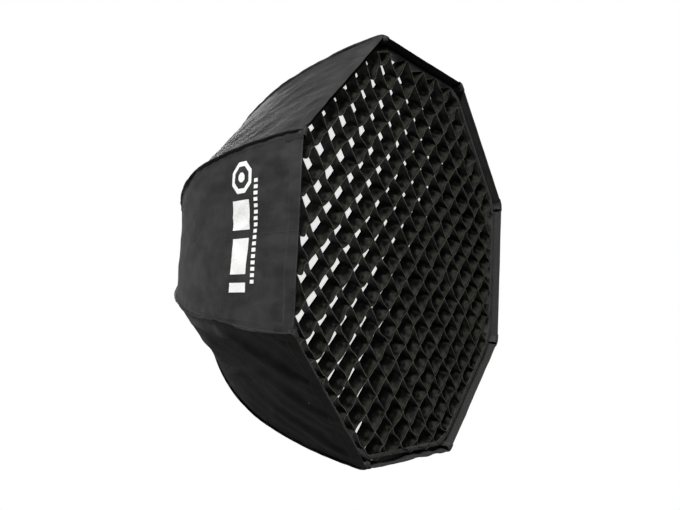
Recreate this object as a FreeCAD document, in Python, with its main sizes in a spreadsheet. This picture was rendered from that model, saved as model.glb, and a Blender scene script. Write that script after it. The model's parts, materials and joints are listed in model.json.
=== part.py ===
import FreeCAD, Part
import math
import os

import Sketcher
from FreeCAD import Placement, Rotation, Vector

# Folding octabox light modifier, in millimetres.
#
# Every piece is drawn in the light's own frame: z runs along the light axis from the rear face
# of the speed ring towards the front, x is radial and y tangential. Its Placement then turns it
# into the row frame, where +Z is up, the box faces -Y and the origin is the centre of the speed
# ring's rear face.

os.makedirs("parts", exist_ok=True)
doc = FreeCAD.newDocument("octabox")

SIZES = {
    # speed ring: the bayonet ring that a flash holds
    "bore_radius": 49,
    "spigot_radius": 56,
    "spigot_depth": 9,
    "lug_radius": 62,
    "lug_depth": 3,
    "lug_start": 2.5,
    "lug_sweep": 40,
    "flange_radius": 78,
    "flange_depth": 5,
    # hub that carries the rib hinges
    "housing_radius": 82,
    "housing_bore": 50,
    "housing_depth": 24,
    "hinge_radius": 74,
    "hinge_depth": 28,
    "hinge_pin_radius": 1.5,
    "hinge_pin_length": 20,
    "hinge_slot_width": 7.2,
    "hinge_slot_root": 67,
    "hinge_slot_floor": 6,
    "plate_depth": 3,
    "plate_inner": 50.5,
    "plate_outer": 68.5,
    "screw_radius": 2,
    "screw_head_radius": 3.6,
    "screw_head_depth": 2.4,
    "collar_outer": 87,
    "collar_depth": 7,
    "collar_gap": 1,
    # guide posts and the nose ring that ties them
    "post_circle": 60,
    "post_radius": 4,
    "post_root": 26,
    "nose_start": 246,
    "nose_depth": 8,
    "nose_inner": 52,
    "nose_outer": 68,
    # ribs: one curve of three tangent arcs
    "rib_count": 8,
    "rib_start_angle": 82,
    "arc_one_radius": 353,
    "arc_one_turn": 32.4,
    "arc_two_radius": 504,
    "arc_two_turn": 30,
    "arc_three_radius": 1246,
    "arc_three_turn": 12.93,
    "rod_radius": 2.4,
    "seam_offset": 7,
    # stretcher linkage
    "ferrule_radius": 3.1,
    "ferrule_end": 24,
    "clip_along": 115,
    "clip_drop": 9,
    "clip_radius": 4.4,
    "clip_sleeve": 16,
    "clip_ear_length": 11,
    "clip_ear_spread": 10.8,
    "clip_pin_length": 12,
    "tip_cap_radius": 3.6,
    "tip_cap_length": 19,
    "tip_cap_end": 5,
    "eye_radius": 4,
    "eye_width": 6,
    "link_pin_radius": 1.5,
    "runner_pin_length": 14,
    "stretcher_radius": 2.5,
    # runner
    "runner_inner": 51.5,
    "runner_outer": 68.5,
    "runner_behind": 6,
    "runner_ahead": 8,
    "ear_inner": 64,
    "ear_outer": 80.5,
    "ear_ahead": 16,
    "ear_gap": 6.6,
    "ear_width": 3,
    "ear_slot_length": 9.5,
    "bush_outer_radius": 6,
    "running_clearance": 0.15,
    # latch and its two buttons
    "latch_ahead": 14,
    "latch_wire_radius": 0.7,
    "latch_bend_start": 62,
    "anchor_radius": 55.5,
    "anchor_thickness": 3,
    "anchor_width": 12,
    "guide_inner": 67,
    "guide_outer": 72,
    "guide_width": 18,
    "guide_margin": 6,
    "groove_depth": 1,
    "groove_width": 3,
    "button_radius": 6.5,
    "button_depth": 4.5,
    "button_face": 77.5,
    "button_stem_radius": 2.5,
    "stem_tip": 67.5,
    "coil_radius": 3.4,
    "coil_wire_width": 0.7,
    "coil_wire_height": 0.5,
    "coil_turns": 3,
    # fabric
    "fabric_thickness": 1.2,
    "rear_opening": 88,
    "panel_gap": 0.3,
    # front set
    "face_apothem": 427,
    "corner_cut": 452,
    "front_recess": 14,
    "grid_depth": 33,
    "grid_pitch": 50,
    "grid_shift": 12,
    "strip_thickness": 1.2,
    "strip_slot_play": 0.4,
    "border_width": 16,
    "border_wall": 2,
    "diffuser_gap": 1,
    "diffuser_thickness": 1.5,
}

sizes = doc.addObject("Spreadsheet::Sheet", "sizes")
for row, (alias, value) in enumerate(SIZES.items(), start=1):
    sizes.set(f"A{row}", alias)
    sizes.set(f"B{row}", str(value))
    sizes.setAlias(f"B{row}", alias)
doc.recompute()


def size(alias):
    """One driving dimension, read from the sheet."""
    return float(sizes.get(alias))


# How far a cutting shape runs past what it cuts, the room round a pin, and a length beyond
# the whole light.
OVERRUN = 5
PIN_PLAY = 0.05
FAR = 700


def bind(item, **formulas):
    """Ties properties of an object to formulas over the sheet's aliases."""
    for name, formula in formulas.items():
        words = [f"<<sizes>>.{word}" if word in SIZES else word for word in formula.split()]
        item.setExpression(name, " ".join(words))


def rot_z(angle):
    return Placement(Vector(), Rotation(Vector(0, 0, 1), angle))


# The light's frame laid into the row frame: z to -Y, y to +Z.
LIGHT = Placement(Vector(), Rotation(Vector(1, 0, 0), 90))
RIB_STEP = 360 / size("rib_count")
HALF_STEP = RIB_STEP / 2
RIB_ANGLES = [HALF_STEP + RIB_STEP * index for index in range(int(size("rib_count")))]
POST_ANGLES = [0, 90, 180, 270]
SCREW_ANGLES = [45, 135, 225, 315]
BUTTON_ANGLES = {"right": 0, "left": 180}

FLANGE_FRONT = size("spigot_depth") + size("flange_depth")
HOUSING_FRONT = FLANGE_FRONT + size("housing_depth")
PLATE_FRONT = HOUSING_FRONT + size("plate_depth")

kept = []


def keep(item, label, turn=0):
    """Labels a finished piece and turns it into the row frame, at an angle about the axis."""
    item.Label = label
    item.Placement = LIGHT * rot_z(turn)
    kept.append(item)
    return item


def feature(label, shape, turn=0):
    """A finished piece whose shape is worked out by Part's own functions."""
    item = doc.addObject("Part::Feature", label)
    item.Shape = shape
    return keep(item, label, turn)


# ---------------------------------------------------------------- Part primitives


def cylinder(name, radius, height, at=Vector(), turn=None, sweep=None):
    item = doc.addObject("Part::Cylinder", name)
    bind(item, Radius=radius, Height=height)
    if sweep:
        bind(item, Angle=sweep)
    item.Placement = Placement(at, turn or Rotation())
    return item


def fuse(name, parts):
    item = doc.addObject("Part::MultiFuse", name)
    item.Shapes = parts
    return item


def cut(name, base, tools):
    item = doc.addObject("Part::Cut", name)
    item.Base = base
    item.Tool = tools[0] if len(tools) == 1 else fuse(name + "_tools", tools)
    return item


def compound(name, parts):
    item = doc.addObject("Part::Compound", name)
    item.Links = parts
    return item


def on_circle(radius, angle, depth):
    """A point at a radius and angle about the light axis, at a depth along it."""
    turn = math.radians(angle)
    return Vector(radius * math.cos(turn), radius * math.sin(turn), depth)


def along_axis(name, circle, angles, radius, start, height):
    """Cylinders parallel to the light axis, one at each angle of a circle."""
    return [
        cylinder(f"{name}_{index}", radius, height, on_circle(size(circle), angle, start))
        for index, angle in enumerate(angles)
    ]


# ---------------------------------------------------------------- PartDesign rings


def circle_sketch(body, name, depth, centre_x, radii):
    """A sketch of circles on the body's XY plane, at a depth, with radii bound to the sheet."""
    sketch = body.newObject("Sketcher::SketchObject", name)
    plane = [item for item in body.Origin.OriginFeatures if item.Role == "XY_Plane"][0]
    sketch.AttachmentSupport = [(plane, "")]
    sketch.MapMode = "FlatFace"
    sketch.AttachmentOffset = Placement(Vector(0, 0, depth), Rotation())
    for index, radius in enumerate(radii):
        middle = Vector(size(centre_x) if centre_x else 0, 0, 0)
        sketch.addGeometry(Part.Circle(middle, Vector(0, 0, 1), size(radius)), False)
        constraint = sketch.addConstraint(Sketcher.Constraint("Radius", index, size(radius)))
        sketch.setExpression(f"Constraints[{constraint}]", f"<<sizes>>.{radius}")
        if centre_x:
            sketch.addConstraint(Sketcher.Constraint("PointOnObject", index, 3, -1))
            offset = sketch.addConstraint(Sketcher.Constraint("DistanceX", -1, 1, index, 3, middle.x))
            sketch.setExpression(f"Constraints[{offset}]", f"<<sizes>>.{centre_x}")
        else:
            sketch.addConstraint(Sketcher.Constraint("Coincident", index, 3, -1, 1))
    return sketch


def ring_plate(label, inner, outer, depth, start, holes):
    """A flat ring with sets of through holes: (radius, circle, count, first angle)."""
    body = doc.addObject("PartDesign::Body", label)
    pad = body.newObject("PartDesign::Pad", label + "_pad")
    pad.Profile = circle_sketch(body, label + "_outline", start, None, [inner, outer])
    bind(pad, Length=depth)
    doc.recompute()
    for index, (radius, circle, count, first) in enumerate(holes):
        volume = body.Shape.Volume
        sketch = circle_sketch(body, f"{label}_hole_{index}", start, circle, [radius])
        sketch.AttachmentOffset = Placement(Vector(0, 0, start), Rotation(Vector(0, 0, 1), first))
        pocket = body.newObject("PartDesign::Pocket", f"{label}_pocket_{index}")
        pocket.Profile = sketch
        pocket.Type = "ThroughAll"
        pocket.Reversed = True
        pattern = body.newObject("PartDesign::PolarPattern", f"{label}_pattern_{index}")
        pattern.Originals = [pocket]
        pattern.Axis = ([item for item in body.Origin.OriginFeatures if item.Role == "Z_Axis"][0], [""])
        pattern.Angle = 360
        pattern.Occurrences = count
        body.Tip = pattern
        doc.recompute()
        removed = volume - body.Shape.Volume
        expected = count * math.pi * size(radius) ** 2 * pad.Length.Value
        if abs(removed - expected) > 0.02 * expected:
            raise ValueError(f"{label}: holes removed {removed:.0f}, not {expected:.0f}")
    return body


# ---------------------------------------------------------------- hub


def make_speed_ring():
    solids = [
        cylinder("spigot", "spigot_radius", "spigot_depth"),
        cylinder("flange", "flange_radius", "flange_depth", Vector(0, 0, size("spigot_depth"))),
    ]
    for index in range(3):
        turn = Rotation(Vector(0, 0, 1), 90 + 120 * index - size("lug_sweep") / 2)
        at = Vector(0, 0, size("lug_start"))
        solids.append(cylinder(f"lug_{index}", "lug_radius", "lug_depth", at, turn, "lug_sweep"))
    holes = [cylinder("flash_bore", "bore_radius", "spigot_depth + flange_depth")]
    holes += along_axis("flange_hole", "post_circle", SCREW_ANGLES, "screw_radius",
                        size("spigot_depth"), "flange_depth")
    keep(cut("speed_ring_cut", fuse("speed_ring_solid", solids), holes), "speed_ring")


def hinge_slot(index, angle):
    """The slot that one rib's eye turns in, open outwards and to the front."""
    item = doc.addObject("Part::Box", f"hinge_slot_{index}")
    bind(item, Length="housing_radius - hinge_slot_root + eye_radius", Width="hinge_slot_width",
         Height="housing_depth")
    floor = FLANGE_FRONT + size("hinge_slot_floor")
    corner = Vector(size("hinge_slot_root"), -size("hinge_slot_width") / 2, floor)
    item.Placement = rot_z(angle) * Placement(corner, Rotation())
    return item


def hinge_pin(name, angle, radius, length):
    """A cylinder on the hinge line of the rib at an angle, centred on the rib's plane."""
    at = Vector(size("hinge_radius"), size(length) / 2, size("hinge_depth"))
    item = cylinder(name, radius, length)
    item.Placement = rot_z(angle) * Placement(at, Rotation(Vector(1, 0, 0), 90))
    return item


def make_hub_housing():
    ring = cylinder("housing_solid", "housing_radius", "housing_depth", Vector(0, 0, FLANGE_FRONT))
    holes = [cylinder("housing_hole", "housing_bore", "housing_depth", Vector(0, 0, FLANGE_FRONT))]
    for index, angle in enumerate(RIB_ANGLES):
        holes.append(hinge_slot(index, angle))
        holes.append(hinge_pin(f"pin_hole_{index}", angle, "hinge_pin_radius", "hinge_pin_length"))
    holes += along_axis("post_socket", "post_circle", POST_ANGLES, "post_radius",
                        size("post_root"), "housing_depth")
    holes += along_axis("housing_screw_hole", "post_circle", SCREW_ANGLES, "screw_radius",
                        FLANGE_FRONT, "housing_depth")
    keep(cut("housing_cut", ring, holes), "hub_housing")


def make_hub_screws():
    solids = []
    for index, angle in enumerate(SCREW_ANGLES):
        foot = on_circle(size("post_circle"), angle, size("spigot_depth"))
        head = on_circle(size("post_circle"), angle, PLATE_FRONT)
        shank = cylinder(f"hub_shank_{index}", "screw_radius",
                         "flange_depth + housing_depth + plate_depth", foot)
        cap = cylinder(f"hub_head_{index}", "screw_head_radius", "screw_head_depth", head)
        solids.append(fuse(f"hub_screw_{index}", [shank, cap]))
    keep(compound("hub_screw_set", solids), "hub_screws")


def make_hinge_pins():
    pins = [hinge_pin(f"rib_pin_{index}", angle, "hinge_pin_radius", "hinge_pin_length")
            for index, angle in enumerate(RIB_ANGLES)]
    keep(compound("rib_pin_set", pins), "rib_hinge_pins")


def make_rear_collar():
    """The elastic hem that closes the canopy round the housing."""
    start = Vector(0, 0, FLANGE_FRONT + size("collar_gap"))
    band = cylinder("collar_solid", "collar_outer", "collar_depth", start)
    hole = cylinder("collar_hole", "housing_radius", "collar_depth", start)
    keep(cut("collar_cut", band, [hole]), "rear_collar")


def make_guide_posts():
    """Four posts, each with the latch groove and a tapped front end."""
    length = "nose_start - post_root"
    groove_at = RUNNER_PIVOT + size("latch_ahead") - size("groove_width") / 2
    posts = []
    for index, angle in enumerate(POST_ANGLES):
        post = cylinder(f"post_{index}", "post_radius", length,
                        on_circle(size("post_circle"), angle, size("post_root")))
        thread = cylinder(f"post_thread_{index}", "screw_radius", "nose_depth + nose_depth",
                          on_circle(size("post_circle"), angle, size("nose_start") - 2 * size("nose_depth")))
        outer = cylinder(f"groove_outer_{index}", "post_radius", "groove_width",
                         on_circle(size("post_circle"), angle, groove_at))
        inner = cylinder(f"groove_inner_{index}", "post_radius - groove_depth", "groove_width",
                         on_circle(size("post_circle"), angle, groove_at))
        groove = cut(f"groove_{index}", outer, [inner])
        posts.append(cut(f"post_cut_{index}", post, [thread, groove]))
    keep(compound("post_set", posts), "guide_posts")


def make_post_screws():
    solids = []
    nose_front = size("nose_start") + size("nose_depth")
    for index, angle in enumerate(POST_ANGLES):
        shank = cylinder(f"post_shank_{index}", "screw_radius", "nose_depth + nose_depth",
                         on_circle(size("post_circle"), angle, size("nose_start") - size("nose_depth")))
        head = cylinder(f"post_head_{index}", "screw_head_radius", "screw_head_depth",
                        on_circle(size("post_circle"), angle, nose_front))
        solids.append(fuse(f"post_screw_{index}", [shank, head]))
    keep(compound("post_screw_set", solids), "post_screws")


# ---------------------------------------------------------------- rib curve


def rib_curve():
    """The rod's three arcs in the rib's plane: centre, radius, first and last tangent angle.

    A tangent angle is measured from the light axis towards the radius. On an arc, the point with
    tangent angle a is centre + radius (cos a, -sin a), and the inward normal is (-cos a, sin a).
    """
    arcs = []
    angle = math.radians(size("rib_start_angle"))
    x, z = size("hinge_radius"), size("hinge_depth")
    for name in ("arc_one", "arc_two", "arc_three"):
        radius = size(name + "_radius")
        centre = (x - radius * math.cos(angle), z + radius * math.sin(angle))
        last = angle - math.radians(size(name + "_turn"))
        arcs.append((centre, radius, angle, last))
        angle = last
        x = centre[0] + radius * math.cos(angle)
        z = centre[1] - radius * math.sin(angle)
    return arcs


ARCS = rib_curve()
ARC_LENGTHS = [radius * (first - last) for _, radius, first, last in ARCS]
ROD_LENGTH = sum(ARC_LENGTHS)


def rib_point(along, outward=0):
    """The point at a length along the rod line, moved outward, and the tangent angle there."""
    for (centre, radius, first, _), length in zip(ARCS, ARC_LENGTHS):
        if along <= length or length == ARC_LENGTHS[-1]:
            break
        along -= length
    angle = first - along / radius
    reach = radius + outward
    return Vector(centre[0] + reach * math.cos(angle), 0, centre[1] - reach * math.sin(angle)), angle


def rib_wire(outward, start=0, end=None):
    """The rod line's arcs between two lengths along it, all moved outward by one distance."""
    end = ROD_LENGTH if end is None else end
    shortest = 0.01
    trim = 0.001
    edges = []
    before = 0
    for length in ARC_LENGTHS:
        low, high = max(start, before), min(end, before + length)
        if high - low > shortest:
            inside = trim * (high - low)
            stations = (low + inside, (low + high) / 2, high - inside)
            points = [rib_point(station, outward)[0] for station in stations]
            points[0] = edges[-1].lastVertex().Point if edges else points[0]
            edges.append(Part.Arc(*points).toShape())
        before += length
    return Part.Wire(edges)


def rod(radius, start, end):
    """A round bar along the rib curve."""
    wire = rib_wire(0, start, end)
    first = wire.Edges[0]
    point = first.valueAt(first.FirstParameter)
    tangent = first.tangentAt(first.FirstParameter)
    profile = Part.Wire([Part.Circle(point, tangent, radius).toShape()])
    return wire.makePipeShell([profile], True, True)


SEAM_END, _ = rib_point(ROD_LENGTH, size("seam_offset"))
FRONT = SEAM_END.z

# The stretcher's pin on the rib hangs inward of the rod. The two links are equally long, so the
# runner's pins stay at the hinge radius, twice the pin's depth ahead of the hinges.
CLIP_PIN, CLIP_ANGLE = rib_point(size("clip_along"), -size("clip_drop"))
RUNNER_PIVOT = 2 * CLIP_PIN.z - size("hinge_depth")
RUNNER_PIN = Vector(size("hinge_radius"), 0, RUNNER_PIVOT)


def cross_pin(at, radius, width):
    """A cylinder across the rib's plane, centred on it."""
    return Part.makeCylinder(radius, width, at - Vector(0, width / 2, 0), Vector(0, 1, 0))


def bar(start, end, radius):
    return Part.makeCylinder(radius, (end - start).Length, start, end - start)


def slab(length, width, height, at, angle):
    """A box centred on a point of the rib's plane, its length along the tangent angle."""
    box = Part.makeBox(height, width, length, Vector(-height / 2, -width / 2, -length / 2))
    box.Placement = Placement(at, Rotation(Vector(0, 1, 0), math.degrees(angle)))
    return box


# ---------------------------------------------------------------- ribs and stretchers

ROD_MARGIN = 8


def make_ribs():
    shape = rod(size("rod_radius"), ROD_MARGIN, ROD_LENGTH - ROD_MARGIN)
    for index, angle in enumerate(RIB_ANGLES, start=1):
        feature(f"rib_{index}", shape, angle)


def rib_ferrule():
    """The eye on the hinge pin and the socket that holds the rod's rear end."""
    hinge = Vector(size("hinge_radius"), 0, size("hinge_depth"))
    eye = cross_pin(hinge, size("eye_radius"), size("eye_width"))
    socket = rod(size("ferrule_radius"), size("hinge_pin_radius") / 3, size("ferrule_end"))
    hole = cross_pin(hinge, size("hinge_pin_radius") + PIN_PLAY, size("eye_width") + OVERRUN)
    rod_hole = rod(size("rod_radius"), ROD_MARGIN, size("ferrule_end") + OVERRUN)
    return eye.fuse(socket).cut(hole).cut(rod_hole)


def clip_pin():
    return cross_pin(CLIP_PIN, size("link_pin_radius"), size("clip_pin_length"))


def stretcher_clip():
    """The sleeve on the rod with two ears that carry the stretcher's pin."""
    along, half = size("clip_along"), size("clip_sleeve") / 2
    middle, angle = rib_point(along)
    sleeve = rod(size("clip_radius"), along - half, along + half)
    drop = size("clip_drop") + size("eye_radius") - 1
    inward = Vector(-math.cos(angle), 0, math.sin(angle))
    block = slab(size("clip_ear_length"), size("clip_ear_spread"), drop, middle + inward * (drop / 2), angle)
    throat_middle = middle + inward * (drop / 2 + size("clip_radius"))
    throat = slab(2 * size("clip_sleeve"), size("ear_gap"), drop, throat_middle, angle)
    rod_hole = rod(size("rod_radius"), along - 2 * half - OVERRUN, along + 2 * half + OVERRUN)
    return sleeve.fuse(block).cut(throat.fuse(rod_hole)).cut(clip_pin()).removeSplitter()


def tip_cap():
    """The rounded cap that the fabric's corner pocket sits on."""
    last = ROD_LENGTH - size("tip_cap_end")
    first = last - size("tip_cap_length")
    end, _ = rib_point(last)
    dome = Part.makeSphere(size("tip_cap_radius"), end)
    cap = rod(size("tip_cap_radius"), first, last).fuse(dome)
    return cap.cut(rod(size("rod_radius"), first - OVERRUN, ROD_LENGTH - ROD_MARGIN))


def make_rib_fittings():
    shape = Part.makeCompound([rib_ferrule(), stretcher_clip(), clip_pin(), tip_cap()])
    for index, angle in enumerate(RIB_ANGLES, start=1):
        feature(f"rib_fittings_{index}", shape, angle)


def make_stretchers():
    """The link from the rib's clip to the runner, with the pin that rides in the runner's ears."""
    pin_radius, through = size("link_pin_radius"), size("eye_width") + OVERRUN
    eyes = [cross_pin(point, size("eye_radius"), size("eye_width")) for point in (CLIP_PIN, RUNNER_PIN)]
    link = bar(CLIP_PIN, RUNNER_PIN, size("stretcher_radius")).fuse(eyes)
    link = link.cut(cross_pin(CLIP_PIN, pin_radius + PIN_PLAY, through))
    link = link.cut(cross_pin(RUNNER_PIN, pin_radius, through))
    shape = Part.makeCompound([link, cross_pin(RUNNER_PIN, pin_radius, size("runner_pin_length"))])
    for index, angle in enumerate(RIB_ANGLES, start=1):
        feature(f"stretcher_{index}", shape, angle)


# ---------------------------------------------------------------- runner, latch and buttons

LATCH_DEPTH = RUNNER_PIVOT + size("latch_ahead")
RUNNER_FOOT = RUNNER_PIVOT - size("runner_behind")
SLOT_PLAY = 0.1


def ear_pair():
    """The two slotted ears of one stretcher pin; the slot takes up the linkage's play."""
    inner, width = size("ear_inner"), size("ear_width")
    height = size("runner_behind") + size("ear_ahead")
    ears = []
    for side in (-1, 1):
        middle = side * (size("ear_gap") + width) / 2
        corner = Vector(inner, middle - width / 2, RUNNER_FOOT)
        ears.append(Part.makeBox(size("ear_outer") - inner, width, height, corner))
    reach = size("link_pin_radius") + SLOT_PLAY
    through = size("ear_gap") + 2 * width + OVERRUN
    play = Vector(0, 0, size("ear_slot_length"))
    slot = cross_pin(RUNNER_PIN, reach, through).fuse(cross_pin(RUNNER_PIN + play, reach, through))
    slot = slot.fuse(Part.makeBox(2 * reach, through, play.z, RUNNER_PIN - Vector(reach, through / 2, 0)))
    return ears[0].fuse(ears[1]).cut(slot)


def latch_blocks():
    """The block that guides one button's stem and the one that anchors its latch wire."""
    inner, thick, width = size("guide_inner"), size("guide_outer") - size("guide_inner"), size("guide_width")
    height = size("runner_behind") + size("latch_ahead") + size("guide_margin")
    guide = Part.makeBox(thick, width, height, Vector(inner, -width / 2, RUNNER_FOOT))
    hole_radius = size("button_stem_radius") + size("running_clearance")
    hole_start = Vector(inner - 1, 0, LATCH_DEPTH)
    stem_hole = Part.makeCylinder(hole_radius, thick + OVERRUN, hole_start, Vector(1, 0, 0))
    anchor_thick, anchor_width = size("anchor_thickness"), size("anchor_width")
    anchor_height = size("latch_ahead") - size("runner_ahead") + anchor_thick
    anchor_foot = RUNNER_PIVOT + size("runner_ahead")
    corner = Vector(size("anchor_radius") - anchor_thick, -anchor_width / 2, anchor_foot)
    anchor = Part.makeBox(anchor_thick, anchor_width, anchor_height, corner)
    return guide.cut(stem_hole).fuse(anchor)


def turned(shape, angle):
    copy = shape.copy()
    copy.Placement = rot_z(angle) * copy.Placement
    return copy


def make_runner():
    foot = Vector(0, 0, RUNNER_FOOT)
    height = size("runner_behind") + size("runner_ahead")
    ring = Part.makeCylinder(size("runner_outer"), height, foot)
    parts = [turned(ear_pair(), angle) for angle in RIB_ANGLES]
    parts += [turned(latch_blocks(), angle) for angle in BUTTON_ANGLES.values()]
    ring = ring.fuse(parts)
    bores = [Part.makeCylinder(size("runner_inner"), height, foot)]
    for angle in POST_ANGLES:
        at = on_circle(size("post_circle"), angle, RUNNER_FOOT)
        bores.append(Part.makeCylinder(size("bush_outer_radius"), height, at))
    feature("runner_ring", ring.cut(bores).removeSplitter())


def make_runner_bushes():
    height = "runner_behind + runner_ahead"
    outer = along_axis("bush_outer", "post_circle", POST_ANGLES, "bush_outer_radius", RUNNER_FOOT, height)
    inner = along_axis("bush_inner", "post_circle", POST_ANGLES, "post_radius + running_clearance",
                       RUNNER_FOOT, height)
    bushes = [cut(f"bush_{index}", pair[0], [pair[1]]) for index, pair in enumerate(zip(outer, inner))]
    keep(compound("bush_set", bushes), "runner_bushes")


def make_latch_springs():
    """A bent wire on each side that snaps into the post's groove and holds the box open."""
    anchor, straight_end = size("anchor_radius"), size("latch_bend_start")
    spread = size("post_radius") - size("groove_depth") + size("latch_wire_radius") + PIN_PLAY
    start, first = Vector(anchor, -spread, LATCH_DEPTH), Vector(straight_end, -spread, LATCH_DEPTH)
    last, end = Vector(straight_end, spread, LATCH_DEPTH), Vector(anchor, spread, LATCH_DEPTH)
    tip = Vector(straight_end + spread, 0, LATCH_DEPTH)
    bend = Part.Arc(first, tip, last).toShape()
    path = Part.Wire([Part.makeLine(start, first), bend, Part.makeLine(last, end)])
    profile = Part.Wire([Part.Circle(start, Vector(1, 0, 0), size("latch_wire_radius")).toShape()])
    wire = path.makePipeShell([profile], True, True)
    feature("latch_springs", Part.makeCompound([turned(wire, angle) for angle in BUTTON_ANGLES.values()]))


def make_buttons():
    across = Rotation(Vector(0, 1, 0), 90)
    for side, angle in BUTTON_ANGLES.items():
        cap = cylinder(f"cap_{side}", "button_radius", "button_depth",
                       Vector(size("button_face"), 0, LATCH_DEPTH), across)
        stem = cylinder(f"stem_{side}", "button_stem_radius", "button_face - stem_tip",
                        Vector(size("stem_tip"), 0, LATCH_DEPTH), across)
        keep(fuse(f"button_{side}", [cap, stem]), f"release_button_{side}", angle)


def make_button_springs():
    """A short coil of flat wire round each stem, between the guide block and the cap."""
    margin = 0.15
    radius = size("coil_radius")
    half_wide, half_high = size("coil_wire_width") / 2, size("coil_wire_height") / 2
    rise = size("button_face") - size("guide_outer") - 2 * half_high - 2 * margin
    corners = [Vector(radius + x * half_wide, 0, z * half_high)
               for x, z in ((-1, -1), (1, -1), (1, 1), (-1, 1), (-1, -1))]
    helix = Part.makeHelix(rise / size("coil_turns"), rise, radius)
    coil = Part.Wire(helix).makePipeShell([Part.makePolygon(corners)], True, True)
    foot = Vector(size("guide_outer") + half_high + margin, 0, LATCH_DEPTH)
    coil.Placement = Placement(foot, Rotation(Vector(0, 1, 0), 90))
    for side, angle in BUTTON_ANGLES.items():
        feature(f"button_spring_{side}", Part.makeCompound([coil]), angle)


# ---------------------------------------------------------------- canopy


def half_panel():
    """Half of one flat gore, from the rib's plane to the middle of the gore.

    The gore is ruled straight across, so it is the seam's band swept along the gore's own
    tangential direction and trimmed by the two planes and by the rear opening.
    """
    outer = rib_wire(size("seam_offset"))
    inner = rib_wire(size("seam_offset") - size("fabric_thickness"))
    ends = [(outer.Vertexes[0].Point, inner.Vertexes[0].Point),
            (outer.Vertexes[-1].Point, inner.Vertexes[-1].Point)]
    links = [Part.makeLine(*pair) for pair in ends]
    band = Part.Face(Part.Wire(Part.__sortEdges__(outer.Edges + inner.Edges + links)))
    half = math.radians(HALF_STEP)
    sheet = band.extrude(Vector(-math.sin(half), math.cos(half), 0) * SEAM_END.x * math.tan(half) * 1.5)
    gap = size("panel_gap") / 2
    apex = Vector((gap + gap * math.cos(half)) / math.sin(half), gap, 0)
    corners = [apex, Vector(FAR, gap, 0), Vector(FAR, (FAR * math.sin(half) - gap) / math.cos(half), 0), apex]
    wedge = Part.Face(Part.makePolygon(corners)).extrude(Vector(0, 0, FAR))
    return sheet.common(wedge).cut(Part.makeCylinder(size("rear_opening"), FAR))


def make_canopy():
    left = half_panel()
    right = left.mirror(Vector(), Vector(0, 1, 0))
    for index, angle in enumerate(RIB_ANGLES, start=1):
        feature(f"canopy_{index}_a", left, angle)
        feature(f"canopy_{index}_b", right, angle)


# ---------------------------------------------------------------- front set

GRID_FRONT = FRONT - size("front_recess")
GRID_REAR = GRID_FRONT - size("grid_depth")


def face_corners(inset, depth):
    """The front outline's corners: an octagon, flat above and below, with its corners cut off."""
    half = math.radians(HALF_STEP)
    reaches = [size("face_apothem") - inset, size("corner_cut") - inset]
    corners = []
    for side in range(2 * int(size("rib_count"))):
        here, following = reaches[side % 2], reaches[(side + 1) % 2]
        beside = (following - here * math.cos(half)) / math.sin(half)
        corners.append(rot_z(HALF_STEP * side) * Vector(here, beside, depth))
    return corners


def face_slab(inset, start, depth):
    corners = face_corners(inset, start)
    return Part.Face(Part.makePolygon(corners + corners[:1])).extrude(Vector(0, 0, depth))


def mitred_frame(width, start, depth):
    """A flat frame inside the front outline, in one block per side with mitred ends."""
    outer, inner = face_corners(0, start), face_corners(width, start)
    blocks = []
    for side in range(len(outer)):
        corners = [outer[side - 1], outer[side], inner[side], inner[side - 1], outer[side - 1]]
        blocks.append(Part.Face(Part.makePolygon(corners)).extrude(Vector(0, 0, depth)))
    return blocks


def make_front_diffuser():
    start = GRID_REAR - size("diffuser_gap") - size("diffuser_thickness")
    feature("front_diffuser", face_slab(0, start, size("diffuser_thickness")))


def make_grid_border():
    """The grid's edge: a wall round the cells with a flat band at its front."""
    wall, band, depth = size("border_wall"), size("border_width"), size("grid_depth")
    blocks = mitred_frame(wall, GRID_REAR, depth - wall) + mitred_frame(band, GRID_FRONT - wall, wall)
    feature("grid_border", Part.makeCompound(blocks))


def grid_strips(lean):
    """Parallel strips at 45 degrees; the two sets are halved into each other where they cross."""
    gap = 0.3
    smallest = 50
    pitch = size("grid_pitch") * math.sqrt(2)
    thick = size("strip_thickness")
    slot_width = thick + size("strip_slot_play")
    depth = size("grid_depth") - size("border_wall") - gap
    outline = face_slab(size("border_wall") + gap, GRID_REAR, depth)
    slot_start = GRID_REAR if lean < 0 else GRID_REAR + depth / 2
    count = int(2 * size("face_apothem") / pitch)
    offsets = [size("grid_shift") + pitch * step for step in range(-count, count + 1)]
    slots = []
    for offset in offsets:
        corner = Vector(offset / math.sqrt(2) - slot_width / 2, -FAR, slot_start)
        slots.append(Part.makeBox(slot_width, 2 * FAR, depth / 2, corner))
    comb = Part.makeCompound(slots)
    strips = []
    for offset in offsets:
        corner = Vector(-FAR, -lean * offset / math.sqrt(2) - thick / 2, GRID_REAR)
        strip = Part.makeBox(2 * FAR, thick, depth, corner).cut(comb)
        strip.Placement = rot_z(45 * lean)
        strips += [solid for solid in strip.common(outline).Solids if solid.Volume > smallest]
    return Part.makeCompound(strips)


def make_grid():
    make_grid_border()
    feature("grid_strips_a", grid_strips(1))
    feature("grid_strips_b", grid_strips(-1))


# ---------------------------------------------------------------- build and write

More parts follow.
